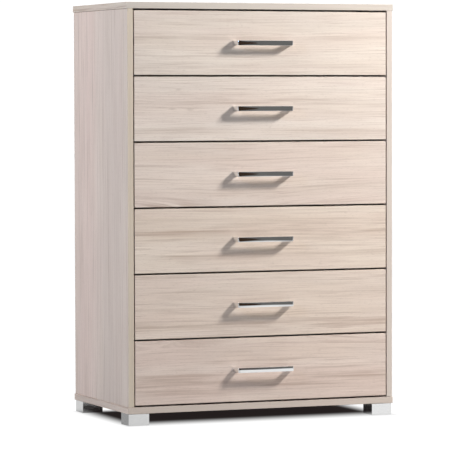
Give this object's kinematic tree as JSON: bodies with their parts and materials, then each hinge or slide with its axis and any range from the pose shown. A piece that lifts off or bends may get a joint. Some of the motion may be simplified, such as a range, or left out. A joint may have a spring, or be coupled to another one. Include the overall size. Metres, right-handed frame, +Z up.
{
  "type": "tall chest of drawers",
  "caption": "Tall free-standing chest of full-width drawers, one above the other, with bow handles, on low square block feet.",
  "frame": {"origin": "on the floor, under the centre of the bounding box, handles included", "axes": "+Z up, +Y towards the back, +X to the right of the chest seen from the front; the drawer fronts face -Y"},
  "size_m": [0.77, 0.4582, 1.118],
  "materials": {
    "carcass_board": "light ash-look board, satin",
    "front_board": "light ash-look board, satin",
    "drawer_board": "off-white foiled board, satin",
    "hardboard": "thin hardboard, one face lacquered",
    "foot_metal": "satin silver",
    "handle_chrome": "polished",
    "runner_plastic": "moulded, satin",
    "fixing_steel": "zinc-plated screws and bolts"
  },
  "bodies": {
    "carcass": {"top_panel": "carcass_board", "bottom_panel": "carcass_board", "left_side": "carcass_board", "right_side": "carcass_board", "back_panel": "hardboard", "foot_front_left": "foot_metal", "foot_front_right": "foot_metal", "foot_rear_left": "foot_metal", "foot_rear_right": "foot_metal", "runner_1_left": "runner_plastic", "runner_1_right": "runner_plastic", "runner_2_left": "runner_plastic", "runner_2_right": "runner_plastic", "runner_3_left": "runner_plastic", "runner_3_right": "runner_plastic", "runner_4_left": "runner_plastic", "runner_4_right": "runner_plastic", "runner_5_left": "runner_plastic", "runner_5_right": "runner_plastic", "runner_6_left": "runner_plastic", "runner_6_right": "runner_plastic"},
    "drawer_1": {"drawer_1_front": "front_board", "drawer_1_side_left": "drawer_board", "drawer_1_side_right": "drawer_board", "drawer_1_back": "drawer_board", "drawer_1_bottom": "hardboard", "drawer_1_handle": "handle_chrome"},
    "drawer_2": {"drawer_2_front": "front_board", "drawer_2_side_left": "drawer_board", "drawer_2_side_right": "drawer_board", "drawer_2_back": "drawer_board", "drawer_2_bottom": "hardboard", "drawer_2_handle": "handle_chrome"},
    "drawer_3": {"drawer_3_front": "front_board", "drawer_3_side_left": "drawer_board", "drawer_3_side_right": "drawer_board", "drawer_3_back": "drawer_board", "drawer_3_bottom": "hardboard", "drawer_3_handle": "handle_chrome"},
    "drawer_4": {"drawer_4_front": "front_board", "drawer_4_side_left": "drawer_board", "drawer_4_side_right": "drawer_board", "drawer_4_back": "drawer_board", "drawer_4_bottom": "hardboard", "drawer_4_handle": "handle_chrome"},
    "drawer_5": {"drawer_5_front": "front_board", "drawer_5_side_left": "drawer_board", "drawer_5_side_right": "drawer_board", "drawer_5_back": "drawer_board", "drawer_5_bottom": "hardboard", "drawer_5_handle": "handle_chrome"},
    "drawer_6": {"drawer_6_front": "front_board", "drawer_6_side_left": "drawer_board", "drawer_6_side_right": "drawer_board", "drawer_6_back": "drawer_board", "drawer_6_bottom": "hardboard", "drawer_6_handle": "handle_chrome"}
  },
  "joints": [
    {"name": "drawer_1_slide", "type": "slide", "parent": "carcass", "child": "drawer_1", "axis": [0, -1, 0], "range_m": [0, 0.28]},
    {"name": "drawer_2_slide", "type": "slide", "parent": "carcass", "child": "drawer_2", "axis": [0, -1, 0], "range_m": [0, 0.28]},
    {"name": "drawer_3_slide", "type": "slide", "parent": "carcass", "child": "drawer_3", "axis": [0, -1, 0], "range_m": [0, 0.28]},
    {"name": "drawer_4_slide", "type": "slide", "parent": "carcass", "child": "drawer_4", "axis": [0, -1, 0], "range_m": [0, 0.28]},
    {"name": "drawer_5_slide", "type": "slide", "parent": "carcass", "child": "drawer_5", "axis": [0, -1, 0], "range_m": [0, 0.28]},
    {"name": "drawer_6_slide", "type": "slide", "parent": "carcass", "child": "drawer_6", "axis": [0, -1, 0], "range_m": [0, 0.28]}
  ]
}
